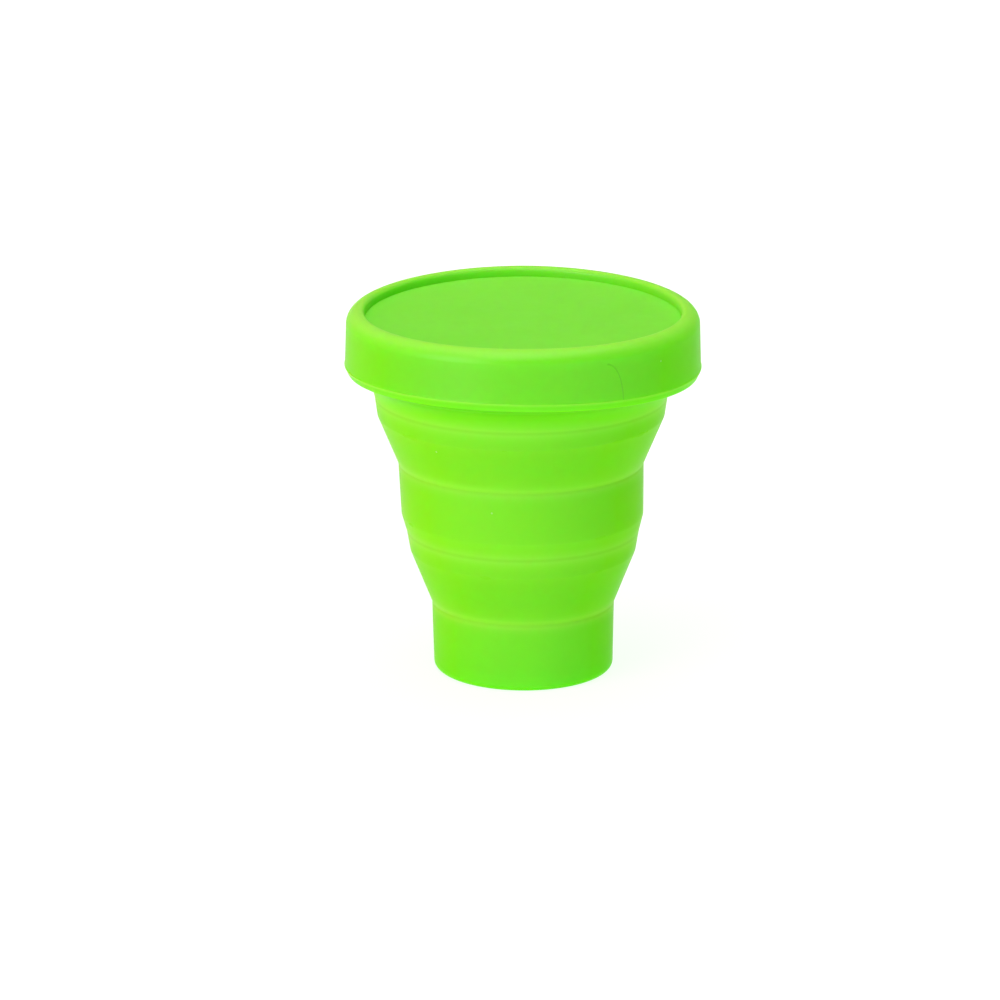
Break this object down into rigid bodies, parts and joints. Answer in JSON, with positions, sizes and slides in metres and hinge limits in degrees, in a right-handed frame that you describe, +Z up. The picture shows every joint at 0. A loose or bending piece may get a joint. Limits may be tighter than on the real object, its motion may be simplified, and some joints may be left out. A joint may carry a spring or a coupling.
{
  "type": "collapsible travel cup",
  "caption": "Round stepped drinking cup of soft silicone whose conical webs fold inside out so it collapses to a low puck, under a push-on lid with a recessed top.",
  "frame": {"origin": "centre of the foot, on the surface that the cup stands on", "axes": "+Z up along the cup's axis; the cup is round, so +X and +Y are any two level directions"},
  "size_m": [0.088, 0.088, 0.0928],
  "materials": {
    "cup_silicone": "satin, translucent green silicone",
    "fold_silicone": "satin, thin translucent green silicone",
    "lid_silicone": "satin, translucent green silicone",
    "lid_panel_silicone": "matte green silicone"
  },
  "bodies": {
    "foot": {"cup_floor": "cup_silicone", "foot_wall": "cup_silicone", "lower_fold": "fold_silicone"},
    "middle": {"lower_collar": "cup_silicone", "middle_shoulder": "cup_silicone", "middle_ring": "cup_silicone", "upper_fold": "fold_silicone"},
    "top": {"upper_collar": "cup_silicone", "cup_neck": "cup_silicone", "cup_rim": "cup_silicone"},
    "lid": {"lid_panel": "lid_panel_silicone", "lid_bead": "lid_silicone", "lid_skirt": "lid_silicone", "lid_lip": "lid_silicone"}
  },
  "joints": [
    {"name": "lower_tier_fold", "type": "slide", "parent": "foot", "child": "middle", "axis": [0, 0, -1], "range_m": [0, 0.027], "deforming": ["lower_fold"]},
    {"name": "upper_tier_fold", "type": "slide", "parent": "middle", "child": "top", "axis": [0, 0, -1], "range_m": [0, 0.0246], "deforming": ["upper_fold"]},
    {"name": "lid_pull", "type": "slide", "parent": "top", "child": "lid", "axis": [0, 0, 1], "range_m": [0, 0.04]}
  ]
}
